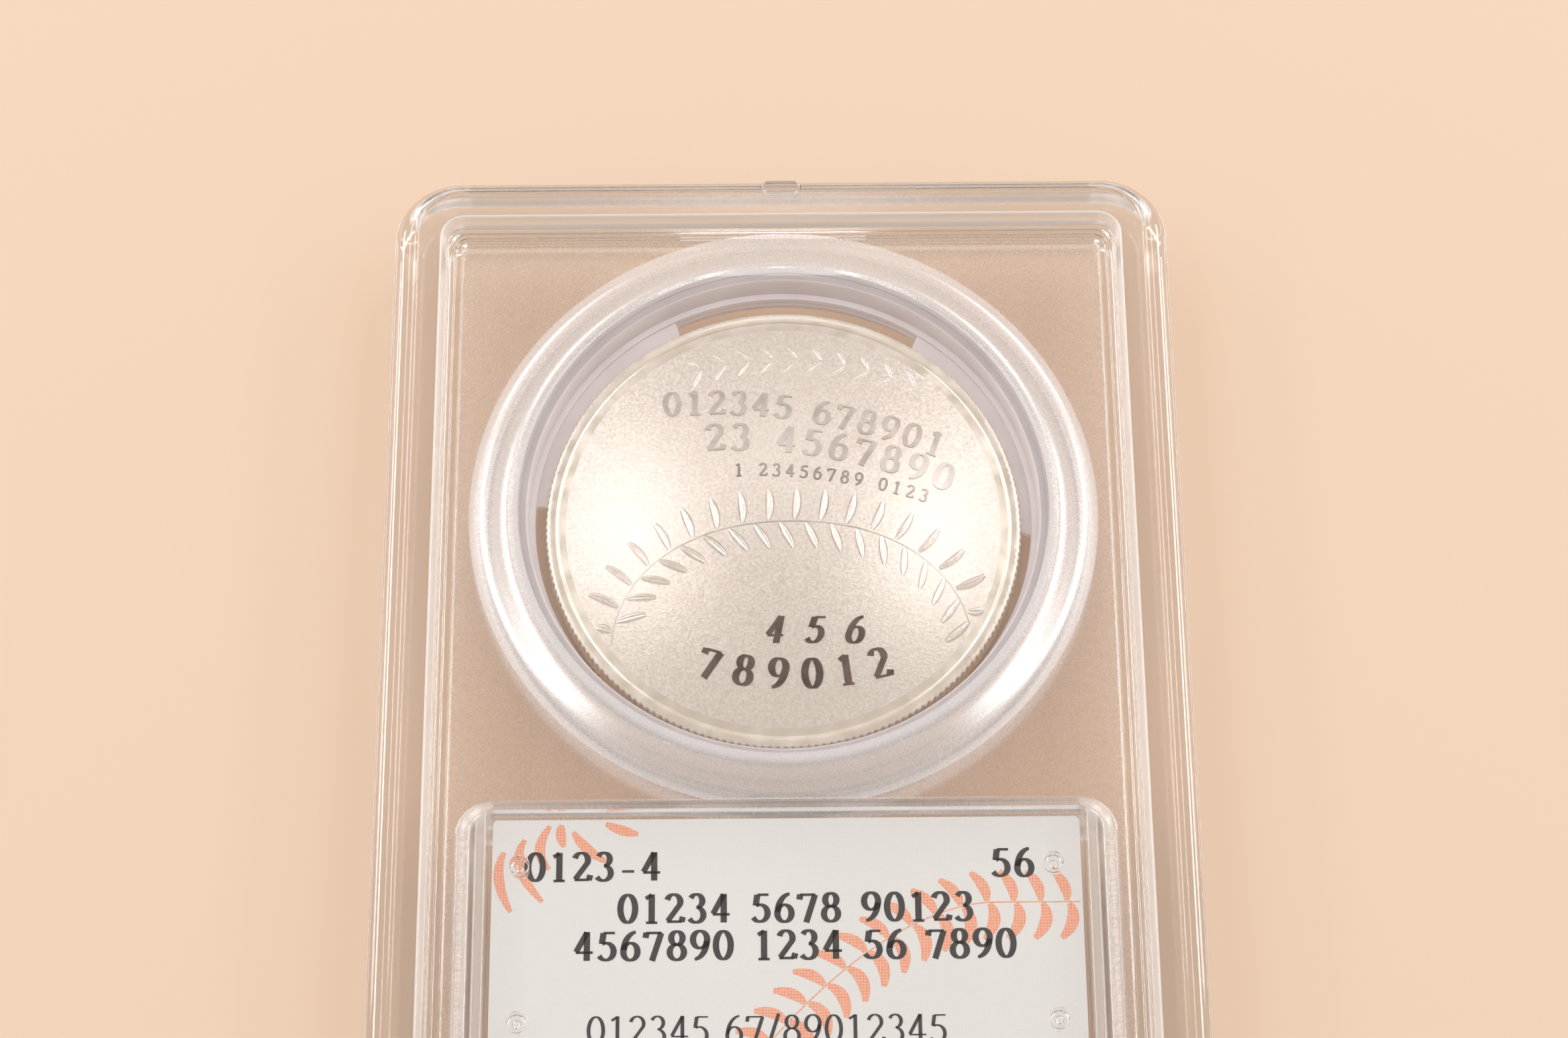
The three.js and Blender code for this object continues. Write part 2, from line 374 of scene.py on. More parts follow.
def printed_card():
    """White card with paper grain and a faint grey halftone screen."""
    material, tree, shader, out = new_material("printed_card")
    shader.inputs["Roughness"].default_value = 0.55
    coordinates = object_coordinates(tree)
    dots = tree.nodes.new("ShaderNodeTexVoronoi")
    dots.inputs["Scale"].default_value = 4200
    dots.inputs["Randomness"].default_value = 0.15
    tree.links.new(coordinates, dots.inputs["Vector"])
    screen = ramp(tree, dots.outputs["Distance"],
                  [(0.05, (0.57, 0.59, 0.61)), (0.35, (0.74, 0.76, 0.77)), (0.6, (0.80, 0.815, 0.83))])
    shade = noise(tree, coordinates, 45, 1.0)
    clouds = ramp(tree, shade, [(0.4, (0.86, 0.86, 0.85)), (0.62, (0.80, 0.79, 0.76))])
    blend = tree.nodes.new("ShaderNodeMixRGB")
    blend.blend_type = "MULTIPLY"
    blend.inputs["Fac"].default_value = 0.35
    tree.links.new(screen, blend.inputs["Color1"])
    tree.links.new(clouds, blend.inputs["Color2"])
    tree.links.new(blend.outputs["Color"], shader.inputs["Base Color"])
    bump(tree, shader, noise(tree, coordinates, 3000, 2.0), 0.01, 0.3)
    return material


def ink(name, low, high, roughness):
    """Printed ink with slightly uneven cover."""
    material, tree, shader, out = new_material(name)
    shader.inputs["Roughness"].default_value = roughness
    cover = noise(tree, object_coordinates(tree), 2600, 3.0, 0.8)
    tree.links.new(ramp(tree, cover, [(0.35, low), (0.7, high)]), shader.inputs["Base Color"])
    return material


def screened_ink(name, dot, paper):
    """Colour printed as a screen of dots on the white card."""
    material, tree, shader, out = new_material(name)
    shader.inputs["Roughness"].default_value = 0.5
    dots = tree.nodes.new("ShaderNodeTexVoronoi")
    dots.inputs["Scale"].default_value = 4200
    dots.inputs["Randomness"].default_value = 0.1
    tree.links.new(object_coordinates(tree), dots.inputs["Vector"])
    colour = ramp(tree, dots.outputs["Distance"], [(0.45, dot), (0.8, paper)])
    tree.links.new(colour, shader.inputs["Base Color"])
    return material


def seal_foil():
    """Bright embossed foil with bands of pale colour."""
    material, tree, shader, out = new_material("seal_foil")
    shader.inputs["Metallic"].default_value = 1.0
    shader.inputs["Roughness"].default_value = 0.22
    coordinates = object_coordinates(tree)
    wave = tree.nodes.new("ShaderNodeTexWave")
    wave.inputs["Scale"].default_value = 160
    wave.inputs["Distortion"].default_value = 3
    tree.links.new(coordinates, wave.inputs["Vector"])
    colour = ramp(tree, wave.outputs["Fac"],
                  [(0.0, (0.62, 0.72, 0.80)), (0.5, (0.82, 0.80, 0.72)), (1.0, (0.74, 0.66, 0.80))])
    tree.links.new(colour, shader.inputs["Base Color"])
    bump(tree, shader, wave.outputs["Fac"], 0.01, 0.5)
    return material


CLEAR = clear_plastic()
# The panel's tan tint and darker lamp tint hold painted shade.
FROSTED = frosted_plastic("frosted_plastic", (0.24, 0.30), 0.003, 6500, shine=0.3, tint=PANEL_PAINTED_SHADE,
                          shade=PANEL_PAINTED_SHADOW)
SPARKLING = frosted_plastic("sparkling_plastic", (0.22, 0.34), 0.008, 4200, white=0.3, tint=LILAC)
SLOPE = frosted_plastic("slope_plastic", (0.16, 0.28), 0.007, 4200, white=0.06)
BACK_SLOPE = frosted_plastic("back_slope_plastic", (0.3, 0.4), 0.008, 4200, white=0.85, shine=0.6, tint=LILAC)
WALL = frosted_plastic("wall_plastic", (0.12, 0.2), 0.003, 5200, white=0.45)
SATIN = frosted_plastic("satin_plastic", (0.1, 0.16), 0.006, 5200, shine=0.8)
EDGE = frosted_plastic("edge_plastic", (0.05, 0.08), 0.0008, 5200, shine=0.8, shade=GLOSS_SHADE)
glossy_skin(SPARKLING, weight=0.9, ior=2.05, roughness=0.27)
glossy_skin(SLOPE, weight=1.0, ior=2.2, roughness=0.15)

# One gasket plastic in two copies: painted shade darkens the top face's copy, and painted light brightens the
# copy for the wall, lip and prongs.
MILKY_TOP_PAINTED_SHADE = milky_plastic("milky_plastic", (0.55, 0.52, 0.545), (0.63, 0.60, 0.63))
MILKY_WALL_PAINTED_LIGHT = milky_plastic("milky_wall_plastic_painted_light", (0.80, 0.77, 0.81), (0.87, 0.85, 0.88))

SILVER = frosted_silver()
POLISHED = polished_silver("polished_silver", 0.6, (0.88, 0.80, 0.70), (0.94, 0.88, 0.80), 0.14)
# Darker copies of the silver for the struck marks: painted shade and painted dark reflection on the figures,
# and painted shade along the stitches' edges.
GREY_SILVER_PAINTED_SHADE = polished_silver("grey_silver_painted_shade", 0.5, (0.58, 0.53, 0.50), (0.70, 0.65, 0.61), 0.14)
SHADED = polished_silver("shaded_silver", 0.5, (0.34, 0.30, 0.28), (0.44, 0.40, 0.37), 0.14)
DARK_SILVER_PAINTED_REFLECTION = polished_silver("dark_silver_painted_reflection", 1.0, (0.17, 0.13, 0.12), (0.40, 0.30, 0.27), 0.06)

CARD = printed_card()
BLACK_INK = ink("black_ink", (0.004, 0.004, 0.005), (0.014, 0.013, 0.013), 0.6)
ORANGE_INK = screened_ink("orange_ink", (0.78, 0.29, 0.17), (0.86, 0.54, 0.42))
FOIL = seal_foil()


# ---- the two half shells -----------------------------------------------------------------------


# The shells' materials, and the slot number of each.
SHELL_MATERIALS = (CLEAR, FROSTED, SPARKLING, EDGE, SATIN, WALL, SLOPE, BACK_SLOPE)
GLOSS, PANEL, COIN_SLOPE, SIDE, RIM_BAND, POCKET_WALL, LABEL_SLOPE, BACK_LABEL_SLOPE = range(8)


def slab_outline(inset):
    """The slab's outline moved inwards."""
    end = HALF_Y - np.interp(inset, INSETS, END_INSETS)
    return rounded_rect(HALF_X - inset, -end, end, np.interp(inset, INSETS, CORNERS))


def ring_outline(r):
    """Outline of the coin window's frame, flattened where it meets the label window's."""
    outline = circle(WINDOW_C, r, 288)
    if r > FOOT_R - 0.2:
        outline[:, 1] = np.maximum(outline[:, 1], NECK_Y + 0.25 * (FOOT_R + 0.7 - r))
    return outline


def label_outline(side, end, corner):
    """An outline that follows the label card."""
    half = LABEL_HI[0] + side
    return rounded_rect(half, LABEL_LO[1] - end, LABEL_HI[1] + end, corner)


def label_slope(offset):
    """Outline of the label window's frame, from its foot at 0 to its top at 1. Below 0 it is on the panel."""
    end = 1.12 - (1.27 if offset > 0 else 0.5) * offset
    return label_outline(2.55 - 0.85 * offset, end, 2.5 - 1.0 * offset)


def chamber_outline(offset):
    """Outline of the label chamber's wall, from its inside at 0 to its outside at 1."""
    return label_outline(CHAMBER_SIDE + CHAMBER_WALL * offset, CHAMBER_END + CHAMBER_WALL * offset,
                         0.5 + CHAMBER_WALL * offset)


PIPS = [(sx * PIP_X, y) for y in (LABEL_HI[1] - PIP_INSET, LABEL_LO[1] + PIP_INSET) for sx in (-1, 1)]


def side_profile(height):
    """Side wall and rounded shoulder, from the weld up, with a small chamfer at the weld."""
    profile = [(0.1, 0.0), (0.0, 0.1), (0.0, height - SHOULDER_DROP)]
    turns = 8
    for k in range(1, turns + 1):
        a = math.pi / 2 * k / turns
        profile.append((SHOULDER_IN * (1 - math.cos(a)), height - SHOULDER_DROP * (1 - math.sin(a))))
    return profile


def face_profiles(height):
    """Rim band with its fine groove, pocket wall, and gutter up to the panel, as three profiles in a row."""
    gutter = PANEL_OUT - GUTTER_DROP
    profile = soften([
        (SHOULDER_IN, height), (SHOULDER_IN + 0.06, height - 0.03, 0.02), (SHOULDER_IN + 0.12, height, 0.02),
        (POCKET_IN, height, 0.16), (FLOOR_IN, gutter, 0.2), (LEDGE_IN, gutter, 0.05),
        (LEDGE_IN + 0.07, PANEL_OUT, 0.05), (LEDGE_IN + 0.25, PANEL_OUT),
    ])
    insets = [inset for inset, _ in profile]
    top = np.searchsorted(insets, POCKET_IN - 0.17, "right") + 1
    foot = np.searchsorted(insets, FLOOR_IN + 0.1, "right")
    return profile[1:top], profile[top:foot], profile[foot:]


def pip_profile(tip):
    """A pip that hangs from the chamber's roof, with a dimple in its tip."""
    dimple = tip + 0.4
    return soften([(PIP_R + 0.15, ROOF), (PIP_R, ROOF, 0.12), (PIP_R, tip, 0.2), (0.32, tip, 0.08),
                   (0.24, dimple, 0.1), (0.1, dimple)])


def half_shell(name, up, weld, pip_tip):
    """One half. up is 1 for the front and -1 for the back. weld is its groove or tongue."""

    def at(profile):
        return [(o, WELD_Z + up * (WELD_GAP + h)) for o, h in profile]

    skin = Skin()
    height = HALF_DEPTH - WELD_GAP

    # Outside: side wall and shoulder, rim band, pocket wall, gutter, the two windows' frames and the panel.
    outer = skin.sweep(slab_outline, at(side_profile(height)), SIDE)
    rim_profile, wall_profile, gutter_profile = face_profiles(height)
    rim = skin.sweep(slab_outline, at(rim_profile), RIM_BAND, outer[-1])
    wall = skin.sweep(slab_outline, at(wall_profile), POCKET_WALL, rim[-1])
    gutter = skin.sweep(slab_outline, at(gutter_profile), GLOSS, wall[-1])
    coin_frame = soften([(FOOT_R + 0.85, PANEL_OUT), (FOOT_R, PANEL_OUT, 0.82), (TOP_R, WINDOW_TOP, 0.8),
                         (TOP_R - 0.9, WINDOW_TOP)], steps=8)
    coin_rings = skin.sweep(ring_outline, at(coin_frame), COIN_SLOPE)
    label_frame = soften([(-0.45, PANEL_OUT), (0, PANEL_OUT, 0.9), (1, WINDOW_TOP, 0.3),
                          (1.3, WINDOW_TOP)], steps=8)
    label_rings = skin.sweep(label_slope, at(label_frame), LABEL_SLOPE if up > 0 else BACK_LABEL_SLOPE)
    skin.fill(gutter[-1], [coin_rings[0], label_rings[0]], PANEL)
    skin.fill(coin_rings[-1])
    skin.fill(label_rings[-1])

    # Inside: weld face, groove or tongue, rib, hollow under the panel, coin well and label chamber.
    inside = soften([(0.1, 0.0), *weld, (GROOVE_IN, 0.0), (HOLLOW_IN, 0.0), (HOLLOW_IN, PANEL_IN),
                     (HOLLOW_IN + 0.3, PANEL_IN)], 0.07, 2)
    inner = skin.sweep(slab_outline, at(inside), GLOSS, outer[0])
    well = soften([(WELL_WALL_R + 0.2, PANEL_IN), (WELL_WALL_R, PANEL_IN), (WELL_WALL_R, 0.0), (WELL_R, 0.0),
                   (WELL_R, ROOF), (WELL_R - 0.3, ROOF)], 0.1, 3)
    well_rings = skin.sweep(lambda r: circle(WINDOW_C, r), at(well))
    chamber = soften([(1.2, PANEL_IN), (1, PANEL_IN), (1, 0.0), (0, 0.0), (0, ROOF), (-0.1, ROOF)], 0.08, 3)
    first = len(skin.faces)
    chamber_rings = skin.sweep(chamber_outline, at(chamber))
    for k in range(first, len(skin.faces)):  # the chamber's long sides are matt
        if min(abs(skin.points[i][0]) for i in skin.faces[k]) > LABEL_HI[0]:
            skin.slots[k] = POCKET_WALL
    skin.fill(inner[-1], [well_rings[0], chamber_rings[0]])
    skin.fill(well_rings[-1])
    feet = []
    for spot in PIPS:
        rings = skin.sweep(lambda r, c=spot: circle(c, r, 40), at(pip_profile(pip_tip)))
        skin.fill(rings[-1])
        feet.append(rings[0])
    skin.fill(chamber_rings[-1], feet)
    return skin.build(name, SHELL_MATERIALS)


def front_shell():
    weld = [(GROOVE_OUT, 0.0), (GROOVE_OUT, GROOVE_DEPTH), (GROOVE_IN, GROOVE_DEPTH)]
    tip = LABEL_HI[2] + PIP_GAP - WELD_Z
    place(half_shell("front_shell_clear", 1, weld, tip), "clear_plastic", "front_shell")


def back_shell():
    a, b = GROOVE_OUT + TONGUE_GAP, GROOVE_IN - TONGUE_GAP
    weld = [(a, 0.0), (a, -TONGUE_HEIGHT), (b, -TONGUE_HEIGHT), (b, 0.0)]
    tip = WELD_Z - LABEL_LO[2] + PIP_GAP
    place(half_shell("back_shell_clear", -1, weld, tip), "clear_plastic", "back_shell")


def gate_vestige():
    """Small scar on the coin end's shoulder, where the moulding gate was broken off."""
    half_length, half_width, waist = 1.7, 0.55, 0.22
    foot = FRONT_HI[2] - 1.0
    profile = soften([(0.0, foot), (0.0, foot + 0.8, 0.2), (0.25, foot + 0.88, 0.12), (0.4, foot + 0.7)])

    def outline(inset):
        lobes = rounded_rect(half_length - inset, inset - half_width, half_width - inset, 0.5 - inset, 10)
        lobes[:, 1] -= waist * np.cos(lobes[:, 0] * 3.7) * np.sign(lobes[:, 1])
        return lobes + (0.0, HALF_Y - 0.75)

    skin = Skin()
    rings = skin.sweep(outline, profile)
    skin.fill(rings[0])
    skin.fill(rings[-1])
    place(skin.build("gate_vestige", [SATIN]), "clear_plastic")


# ---- gasket ------------------------------------------------------------------------------------

TABS = (26, 146, 266)  # middles of the three prongs, in degrees
TAB_SPAN, TAB_END = 60, 1.6
TAB_Z = (3.1, 3.75)
LIP_Z = (2.9, 4.0)
WALL_R, LIP_R = 20.4, 19.9
REACH_GAP = 0.05


def coin_reach(angle):
    """Distance from the window's centre to the coin's edge, along one direction."""
    d = WINDOW_C - COIN_C
    u = np.array([math.cos(angle), math.sin(angle)])
    along = d @ u
    return -along + math.sqrt(along**2 - d @ d + (COIN_R + REACH_GAP) ** 2)


def tab_cover(angle):
    """1 where a prong reaches the coin, 0 in the gaps between prongs, with rounded ends."""
    best = 0.0
    for centre in TABS:
        away = abs((math.degrees(angle) - centre + 180) % 360 - 180)
        inside = (TAB_SPAN / 2 - away) / TAB_END
        best = max(best, min(1.0, max(0.0, inside)))
    return math.sqrt(best * (2 - best))


def gasket():
    """Ring with a wall, a lip and three prongs. In the profile, a radius of None is the prongs' reach."""
    steps = 720
    angles = np.arange(steps) * 2 * math.pi / steps
    reach = np.array([min(LIP_R - 0.02, LIP_R + (coin_reach(a) - LIP_R) * tab_cover(a)) for a in angles])
    lo, hi = GASKET_LO[2], GASKET_HI[2]
    middle = GASKET_R - 0.55
    wall = soften([
        (WALL_R, LIP_Z[0]), (WALL_R, lo, 0.2), (GASKET_R, lo, 0.35), (GASKET_R, hi, 0.35),
        (middle, hi, 0.05), (middle, hi - 0.12, 0.05), (WALL_R, hi - 0.12, 0.18), (WALL_R, LIP_Z[1]),
    ])
    lip = [(LIP_R, LIP_Z[1]), (LIP_R, TAB_Z[1]), (None, TAB_Z[1]), (None, TAB_Z[0]), (LIP_R, TAB_Z[0]),
           (LIP_R, LIP_Z[0])]
    skin = Skin()
    direction = np.stack([np.cos(angles), np.sin(angles)], 1)
    rings = []
    for r, z in [*wall, *lip]:
        radius = reach if r is None else np.full(steps, r)
        # The wall, lip and prongs take the copy with painted light, the top face the copy with painted shade.
        inside = r is None or r < WALL_R + 0.1
        rings.append((skin.ring(WINDOW_C + direction * radius[:, None], z), int(inside)))
    for (a, _), (b, slot) in zip(rings, rings[1:] + rings[:1]):
        skin.bridge(a, b, slot)
    place(skin.build("gasket_ring", [MILKY_TOP_PAINTED_SHADE, MILKY_WALL_PAINTED_LIGHT], 35), "milky_plastic", "coin_gasket")


# ---- coin --------------------------------------------------------------------------------------

RIM_W, RIM_TOP, RIM_BOTTOM = 0.95, 4.6, 2.2
FIELD_R = COIN_R - RIM_W
DOME_FOOT, DOME_RISE, HOLLOW_RISE = 4.48, 1.5, 1.45
FIELD_ROWS = 26
REEDS, PER_REED, REED_DEPTH, REED_FADE = 198, 6, 0.14, 0.2


def dome(x, y):
    """Height of the coin's domed face above a point given from its centre."""
    share = (np.hypot(x, y) / FIELD_R) ** 2
    return DOME_FOOT + DOME_RISE * (1 - share)


def coin():
    """Domed disc with a hollow back. Its rings run from the middle of the face over the rim and back in."""
    steps = REEDS * PER_REED
    angles = np.arange(steps) * 2 * math.pi / steps
    direction = np.stack([np.cos(angles), np.sin(angles)], 1)
    groove = REED_DEPTH * (0.5 - 0.5 * np.cos(angles * REEDS)) ** 1.5
    rim = soften([
        (FIELD_R - 0.15, float(dome(FIELD_R - 0.15, 0))), (FIELD_R, DOME_FOOT, 0.1),
        (FIELD_R + 0.08, RIM_TOP, 0.08), (COIN_R - 0.12, RIM_TOP, 0.1),
        (COIN_R, RIM_TOP - 0.16, 0.1), (COIN_R, RIM_BOTTOM + 0.16, 0.1),
        (COIN_R - 0.12, RIM_BOTTOM, 0.1), (FIELD_R + 0.08, RIM_BOTTOM, 0.08),
        (FIELD_R, RIM_BOTTOM + 0.12, 0.1), (FIELD_R - 0.3, RIM_BOTTOM + 0.17),
    ], 0.1, 3)
    skin = Skin()
    rings = []
    for r in FIELD_R * np.arange(1, FIELD_ROWS) / FIELD_ROWS:
        rings.append((skin.ring(COIN_C + direction * r, float(dome(r, 0))), 0))
    for r, z in rim:
        radius = r - groove * np.clip((r - COIN_R) / REED_FADE + 1, 0, 1)
        rings.append((skin.ring(COIN_C + direction * radius[:, None], z), 1))
    for k in range(FIELD_ROWS - 2, 0, -3):
        r = FIELD_R * k / FIELD_ROWS
        z = RIM_BOTTOM + 0.12 + HOLLOW_RISE * (1 - (r / FIELD_R) ** 2)
        rings.append((skin.ring(COIN_C + direction * r, z), 0))
    for (a, _), (b, slot) in zip(rings, rings[1:]):
        skin.bridge(a, b, slot)
    skin.fill(rings[0][0])
    skin.fill(rings[-1][0])
    place(skin.build("coin_body", [SILVER, POLISHED], 50), "silver", "coin")


# ---- drawing with a broad pen ------------------------------------------------------------------


def arc(cx, cy, rx, ry, a0, a1, steps=18):
    a = np.radians(np.linspace(a0, a1, steps))
    return np.stack([cx + rx * np.cos(a), cy + ry * np.sin(a)], 1)


def line(*points):
    return np.array(points, float)


# Figures as pen strokes in a box 0.62 wide and 1 high, and how far the pen moves on after each.
FIGURES = {
    "0": [arc(0.31, 0.5, 0.235, 0.455, 0, 360, 36)],
    "1": [line((0.33, 0.03), (0.33, 0.97)), line((0.33, 0.95), (0.14, 0.83)),
          line((0.15, 0.03), (0.51, 0.03))],
    "2": [np.vstack([arc(0.29, 0.72, 0.21, 0.24, 165, -25), line((0.10, 0.08))]),
          line((0.08, 0.06), (0.55, 0.06)), line((0.54, 0.05), (0.58, 0.22))],
    "3": [arc(0.27, 0.745, 0.19, 0.215, 155, -88), arc(0.26, 0.28, 0.235, 0.25, 85, -150)],
    "4": [line((0.40, 0.95), (0.06, 0.31)), line((0.05, 0.29), (0.59, 0.29)),
          line((0.40, 0.97), (0.40, 0.02))],
    "5": [line((0.19, 0.93), (0.55, 0.93)), line((0.19, 0.93), (0.14, 0.57)),
          arc(0.27, 0.32, 0.245, 0.28, 118, -150)],
    "6": [arc(0.53, 0.34, 0.43, 0.62, 97, 178), arc(0.31, 0.31, 0.225, 0.28, 0, 360, 30)],
    "7": [line((0.07, 0.92), (0.56, 0.92)), line((0.08, 0.93), (0.05, 0.76)),
          line((0.55, 0.92), (0.26, 0.0))],
    "8": [arc(0.31, 0.745, 0.18, 0.215, 0, 360, 28), arc(0.31, 0.28, 0.225, 0.25, 0, 360, 30)],
    "9": [arc(0.09, 0.66, 0.43, 0.62, -83, -2), arc(0.31, 0.69, 0.225, 0.28, 0, 360, 30)],
    "-": [line((0.12, 0.33), (0.50, 0.33))],
    "/": [line((0.06, -0.04), (0.40, 1.02))],
    ".": [line((0.13, 0.02), (0.13, 0.12))],
}
FIGURE_WIDTH = 0.62
NARROW = {"/": 0.46, ".": 0.36, " ": 0.42}


def pen_stroke(points, thin, thick):
    """Left and right edges of a stroke whose width grows as it turns upright."""
    points = np.array(points, float)
    closed = np.allclose(points[0], points[-1])
    if closed:
        tangent = np.roll(points[:-1], -1, 0) - np.roll(points[:-1], 1, 0)
        tangent = np.vstack([tangent, tangent[:1]])
    else:
        tangent = np.gradient(points, axis=0)
    tangent /= np.linalg.norm(tangent, axis=1)[:, None]
    width = thin + (thick - thin) * np.abs(tangent[:, 1]) ** 1.4
    normal = np.stack([-tangent[:, 1], tangent[:, 0]], 1)
    offset = normal * width[:, None] / 2
    return points + offset, points - offset, closed


def normals(path):
    """Unit normals on the left of a path."""
    tangent = np.gradient(path, axis=0)
    tangent /= np.linalg.norm(tangent, axis=1)[:, None]
    return np.stack([-tangent[:, 1], tangent[:, 0]], 1)


def refine(points, longest):
    """Adds points so that no step is longer than `longest`."""
    out = [points[0]]
    for a, b in zip(points, points[1:]):
        n = max(1, math.ceil(np.linalg.norm(b - a) / longest))
        out.extend(a + (b - a) * k / n for k in range(1, n + 1))
    return np.array(out)


def level(x):
    """Row curve of a straight, level row."""
    return 0.0, 0.0


def cord_swell(n):
    """Width of a raised stitch at n points along it, as a share of its full width."""
    return np.sin(np.pi * np.linspace(0.07, 0.93, n)) ** 0.6


class Marks:
    """Thin raised or printed marks on a surface given by height(x, y)."""

    def __init__(self, height, thickness, sink=0.02):
        self.height, self.thickness, self.sink = height, thickness, sink
        self.points, self.faces = [], []

    def ribbon(self, left, right, closed):
        """A closed strip between two edges, following the surface."""
        n = len(left)
        base = len(self.points)
        for edge in (left, right):
            for lift in (self.thickness, -self.sink):
                z = self.height(edge[:, 0], edge[:, 1]) + lift
                self.points.extend((float(x), float(y), float(h)) for (x, y), h in zip(edge, z))
        rows = [base + n * k for k in range(4)]  # left top, left base, right top, right base
        for k in range(n - 1):
            for a, b in ((rows[0], rows[2]), (rows[2], rows[3]), (rows[3], rows[1]), (rows[1], rows[0])):
                self.faces.append((a + k, a + k + 1, b + k + 1, b + k))
        if not closed:
            self.faces.append((rows[0], rows[2], rows[3], rows[1]))
            self.faces.append(tuple(r + n - 1 for r in (rows[0], rows[1], rows[3], rows[2])))

    def cord(self, path, width, rise):
        """A raised stitch: two rounded strands side by side, tapering to both ends."""
        normal, n = normals(path), len(path)
        swell = cord_swell(n)
        rows = []
        section = ((-1, None), (-0.8, 0.75), (-0.45, 1), (0, 0.4), (0.45, 1), (0.8, 0.75), (1, None))
        for across, lift in section:
            points = path + normal * (across * width / 2 * swell)[:, None]
            above = -self.sink if lift is None else lift * rise * swell
            z = self.height(points[:, 0], points[:, 1]) + above
            rows.append(range(len(self.points), len(self.points) + n))
            self.points.extend((float(x), float(y), float(h)) for (x, y), h in zip(points, z))
        for a, b in zip(rows, rows[1:] + rows[:1]):
            self.faces.extend((a[k], a[k + 1], b[k + 1], b[k]) for k in range(n - 1))
        self.faces.append(tuple(row[0] for row in rows))
        self.faces.append(tuple(row[-1] for row in reversed(rows)))

    def figure(self, char, origin, turn, height, thin, thick, slant):
        """One figure with its lower left corner at origin, turned by an angle."""
        turned = np.array([[math.cos(turn), math.sin(turn)], [-math.sin(turn), math.cos(turn)]])
        for points in FIGURES[char]:
            left, right, closed = pen_stroke(refine(points, 0.12), thin, thick)
            edges = [edge + np.outer(edge[:, 1], (slant, 0)) for edge in (left, right)]
            self.ribbon(*(origin + height * edge @ turned for edge in edges), closed)

    def row(self, text, start, height, thin, thick, spacing=0.12, slant=0.0, curve=level):
        """A row of figures from a start point. curve(x) gives the row's drop and turn at a distance x."""
        pen = 0.0
        for char in text:
            advance = (NARROW.get(char, FIGURE_WIDTH) + spacing) * height
            if char in FIGURES:
                drop, turn = curve(pen + advance / 2)
                self.figure(char, np.array(start) + (pen, drop), turn, height, thin, thick, slant)
            pen += advance

    def build(self, name, material):
        skin = Skin()
        skin.points, skin.faces = self.points, self.faces
        skin.slots = [0] * len(self.faces)
        return skin.build(name, [material], 30)


# ---- struck marks on the coin ------------------------------------------------------------------


def coin_height(x, y):
    """Height of the coin's face at a point of the frame."""
    return dome(x - COIN_C[0], y - COIN_C[1])


def bend_down(length, fall, rise=0.0):
    """Row curve that starts level and falls away towards its end, like writing round a ball."""

    def at(x):
        t = x / length
        drop = rise * t - fall * t * t
        turn = math.atan2(rise - 2 * fall * t, length)
        return drop, turn

    return at


def smile(length, sag):
    """Row curve that sags in the middle."""

    def at(x):
        t = x / length
        drop = -sag * 4 * t * (1 - t)
        turn = math.atan2(-sag * 4 * (1 - 2 * t), length)
        return drop, turn

    return at


def coin_figures():
    """Struck figures: two lighter rows, a small darker one under them, and two dark rows near the lower edge,
    their tones painted shade and painted dark reflection.
    """
    x, y = COIN_C
    upper = Marks(coin_height, 0.08)
    upper.row("012345 678901", (x - 9.6, y + 9.3), 2.3, 0.07, 0.2, 0.15, curve=bend_down(25, 6.2, 1.6))
    upper.row("23 4567890", (x - 6.2, y + 6.0), 2.5, 0.07, 0.2, 0.2, curve=bend_down(21, 4.8, 1.0))
    place(upper.build("coin_figures_upper", GREY_SILVER_PAINTED_SHADE), "silver")
    small = Marks(coin_height, 0.06)
    small.row("1 23456789 0123", (x - 3.9, y + 3.7), 1.15, 0.1, 0.17, 0.32, curve=bend_down(17, 3.1, 0.5))
    place(small.build("coin_figures_small", SHADED), "silver")
    lower = Marks(coin_height, 0.06)
    lower.row("456", (x - 1.6, y - 10.6), 2.3, 0.07, 0.23, 0.75, 0.2)
    lower.row("789012", (x - 7.0, y - 12.6), 2.5, 0.07, 0.23, 0.5, 0.0, curve=smile(18.5, 1.7))
    place(lower.build("coin_figures_lower", DARK_SILVER_PAINTED_REFLECTION), "silver")


def along(line_points, spacing):
    """Points evenly spaced along a line, with the direction of the line at each."""
    seg = np.linalg.norm(np.diff(line_points, axis=0), axis=1)
    at = np.concatenate([[0], np.cumsum(seg)])
    count = round(at[-1] / spacing)
    for k in range(count):
        s = at[-1] * (k + 0.5) / count
        j = min(len(seg) - 1, int(np.searchsorted(at, s) - 1))
        t = (line_points[j + 1] - line_points[j]) / seg[j]
        yield line_points[j] + t * (s - at[j]), t


def stitch_path(p, t, reach, lean, bow, gap, steps=9):
    """A curved stitch from beside the seam point p. reach is negative for the far side of the seam."""
    n = np.array([-t[1], t[0]])
    foot = p + n * math.copysign(gap, reach)
    tip = p + n * reach + t * lean
    middle = (foot + tip) / 2 + t * bow
    u = np.linspace(0, 1, steps)[:, None]
    return (1 - u) ** 2 * foot + 2 * u * (1 - u) * middle + u * u * tip


def seam_arc(x0, y0, x1, y1, rise, steps=60):
    """Shallow arch between two points."""
    t = np.linspace(0, 1, steps)
    return np.stack([x0 + (x1 - x0) * t, y0 + (y1 - y0) * t + rise * 4 * t * (1 - t)], 1)


def round_arch(centre, half_width, height, power, steps=120):
    """Half of a superellipse, from its left foot over the top to its right foot."""
    a = np.linspace(math.pi * 0.985, math.pi * 0.015, steps)
    x = half_width * np.sign(np.cos(a)) * np.abs(np.cos(a)) ** (2 / power)
    return np.stack([centre[0] + x, centre[1] + height * np.sin(a) ** (2 / power)], 1)


